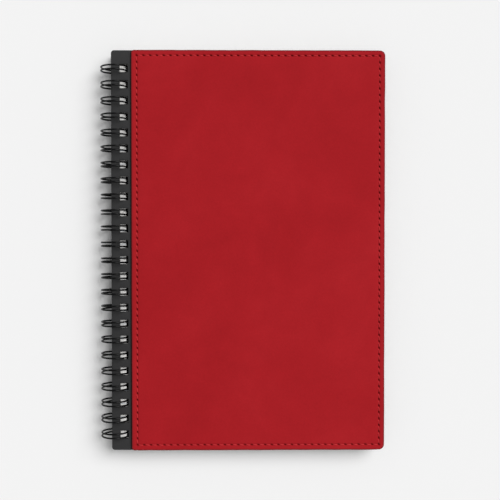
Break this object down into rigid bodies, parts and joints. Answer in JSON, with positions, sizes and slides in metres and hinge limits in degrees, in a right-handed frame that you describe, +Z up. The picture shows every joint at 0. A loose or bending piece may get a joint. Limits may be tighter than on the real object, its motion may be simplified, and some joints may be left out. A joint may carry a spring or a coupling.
{
  "type": "leather notebook cover",
  "caption": "Wire-bound notebook with stitched red leather panels on its board covers, a bare charcoal strip at the spine, and sheets that turn on black twin-loop wire.",
  "frame": {"origin": "middle of the footprint, on the surface the closed notebook lies on", "axes": "+X from the binding to the fore edge, +Y along the spine to the head, +Z up out of the front cover"},
  "size_m": [0.1514, 0.2126, 0.0152],
  "materials": {
    "leather_red": "matt nubuck leather, softly clouded",
    "thread_red": "waxed sewing thread in the red of the leather, a shade lighter",
    "cover_paper": "matt charcoal bookbinding paper",
    "grey_board": "plain grey board",
    "wire_black": "gloss black coated steel wire",
    "sheet_paper": "smooth uncoated writing paper"
  },
  "bodies": {
    "root": {"binding_wire": "wire_black", "back_board": "grey_board", "back_wrap": "cover_paper", "back_lining": "cover_paper", "back_leather": "leather_red", "back_thread": "thread_red"},
    "front_cover": {"front_board": "grey_board", "front_wrap": "cover_paper", "front_lining": "cover_paper", "front_leather": "leather_red", "front_thread": "thread_red"},
    "page_section_01": {"page_section_01": "sheet_paper"},
    "page_section_02": {"page_section_02": "sheet_paper"},
    "page_section_03": {"page_section_03": "sheet_paper"},
    "page_section_04": {"page_section_04": "sheet_paper"},
    "page_section_05": {"page_section_05": "sheet_paper"},
    "page_section_06": {"page_section_06": "sheet_paper"},
    "page_section_07": {"page_section_07": "sheet_paper"},
    "page_section_08": {"page_section_08": "sheet_paper"},
    "page_section_09": {"page_section_09": "sheet_paper"},
    "page_section_10": {"page_section_10": "sheet_paper"}
  },
  "joints": [
    {"name": "front_cover_open", "type": "hinge", "parent": "root", "child": "front_cover", "pos_m": [-0.0682, 0, 0.00773], "axis": [0, -1, 0], "range_deg": [0, 180]},
    {"name": "page_section_01_turn", "type": "hinge", "parent": "root", "child": "page_section_01", "pos_m": [-0.0682, 0, 0.00773], "axis": [0, -1, 0], "range_deg": [0, 180]},
    {"name": "page_section_02_turn", "type": "hinge", "parent": "root", "child": "page_section_02", "pos_m": [-0.0682, 0, 0.00773], "axis": [0, -1, 0], "range_deg": [0, 180]},
    {"name": "page_section_03_turn", "type": "hinge", "parent": "root", "child": "page_section_03", "pos_m": [-0.0682, 0, 0.00773], "axis": [0, -1, 0], "range_deg": [0, 180]},
    {"name": "page_section_04_turn", "type": "hinge", "parent": "root", "child": "page_section_04", "pos_m": [-0.0682, 0, 0.00773], "axis": [0, -1, 0], "range_deg": [0, 180]},
    {"name": "page_section_05_turn", "type": "hinge", "parent": "root", "child": "page_section_05", "pos_m": [-0.0682, 0, 0.00773], "axis": [0, -1, 0], "range_deg": [0, 180]},
    {"name": "page_section_06_turn", "type": "hinge", "parent": "root", "child": "page_section_06", "pos_m": [-0.0682, 0, 0.00773], "axis": [0, -1, 0], "range_deg": [0, 180]},
    {"name": "page_section_07_turn", "type": "hinge", "parent": "root", "child": "page_section_07", "pos_m": [-0.0682, 0, 0.00773], "axis": [0, -1, 0], "range_deg": [0, 180]},
    {"name": "page_section_08_turn", "type": "hinge", "parent": "root", "child": "page_section_08", "pos_m": [-0.0682, 0, 0.00773], "axis": [0, -1, 0], "range_deg": [0, 180]},
    {"name": "page_section_09_turn", "type": "hinge", "parent": "root", "child": "page_section_09", "pos_m": [-0.0682, 0, 0.00773], "axis": [0, -1, 0], "range_deg": [0, 180]},
    {"name": "page_section_10_turn", "type": "hinge", "parent": "root", "child": "page_section_10", "pos_m": [-0.0682, 0, 0.00773], "axis": [0, -1, 0], "range_deg": [0, 180]}
  ],
  "couplings": [
    {"joint": "page_section_01_turn", "follows": "front_cover_open", "ratio": 0.01},
    {"joint": "page_section_02_turn", "follows": "front_cover_open", "ratio": 0.02},
    {"joint": "page_section_03_turn", "follows": "front_cover_open", "ratio": 0.03},
    {"joint": "page_section_04_turn", "follows": "front_cover_open", "ratio": 0.045},
    {"joint": "page_section_05_turn", "follows": "front_cover_open", "ratio": 0.06},
    {"joint": "page_section_06_turn", "follows": "front_cover_open", "ratio": 0.9},
    {"joint": "page_section_07_turn", "follows": "front_cover_open", "ratio": 0.92},
    {"joint": "page_section_08_turn", "follows": "front_cover_open", "ratio": 0.94},
    {"joint": "page_section_09_turn", "follows": "front_cover_open", "ratio": 0.955},
    {"joint": "page_section_10_turn", "follows": "front_cover_open", "ratio": 0.97}
  ]
}
